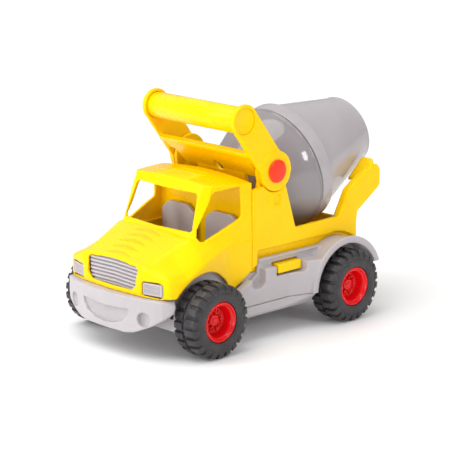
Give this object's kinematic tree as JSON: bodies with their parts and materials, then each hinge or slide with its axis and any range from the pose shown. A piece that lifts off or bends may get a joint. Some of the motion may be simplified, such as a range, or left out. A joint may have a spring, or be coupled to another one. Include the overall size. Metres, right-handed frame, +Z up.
{
  "type": "toy cement mixer",
  "caption": "Hand-pushed toy cement mixer truck: turning drum on a tilting frame with a bar handle, two-seat cab and free-rolling wheels.",
  "frame": {"origin": "middle of the footprint on the floor, under the centre of the bounding box", "axes": "+Z up, the truck's front faces -Y, its left side is +X"},
  "size_m": [0.1794, 0.3185, 0.2182],
  "materials": {
    "yellow_plastic": "gloss",
    "grey_plastic": "satin",
    "drum_plastic": "gloss",
    "red_plastic": "gloss",
    "pin_plastic": "gloss",
    "tyre_black": "matte",
    "axle_steel": "satin",
    "axle_grey": "satin"
  },
  "bodies": {
    "truck": {"chassis": "grey_plastic", "base_plate": "grey_plastic", "base_screws": "axle_steel", "cab_shell": "yellow_plastic", "seat_insert": "grey_plastic", "grille_insert": "grey_plastic", "headlight_left": "grey_plastic", "headlight_right": "grey_plastic", "mixer_frame": "yellow_plastic", "pivot_pin_left": "pin_plastic", "pivot_pin_right": "pin_plastic"},
    "front_axle": {"axle_front": "axle_steel", "tyre_front_left": "tyre_black", "tyre_front_right": "tyre_black", "rim_front_left": "red_plastic", "rim_front_right": "red_plastic"},
    "rear_axle": {"axle_rear": "axle_steel", "tyre_rear_left": "tyre_black", "tyre_rear_right": "tyre_black", "rim_rear_left": "red_plastic", "rim_rear_right": "red_plastic"},
    "tilt": {"tilt_frame": "yellow_plastic", "handle_bar": "yellow_plastic", "drum_axle": "axle_grey", "drum_retainer": "drum_plastic"},
    "drum": {"drum_front_shell": "drum_plastic", "drum_rear_shell": "drum_plastic"}
  },
  "joints": [
    {"name": "front_axle_spin", "type": "hinge", "parent": "truck", "child": "front_axle", "pos_m": [0, -0.099, 0.034], "axis": [1, 0, 0], "continuous": true},
    {"name": "rear_axle_spin", "type": "hinge", "parent": "truck", "child": "rear_axle", "pos_m": [0, 0.074, 0.034], "axis": [1, 0, 0], "continuous": true},
    {"name": "drum_tilt", "type": "hinge", "parent": "truck", "child": "tilt", "pos_m": [0, -0.0049, 0.1525], "axis": [1, 0, 0], "range_deg": [0, 22]},
    {"name": "drum_spin", "type": "hinge", "parent": "tilt", "child": "drum", "pos_m": [0, -0.0125, 0.119], "axis": [0, 0.9673, 0.2538], "continuous": true}
  ]
}
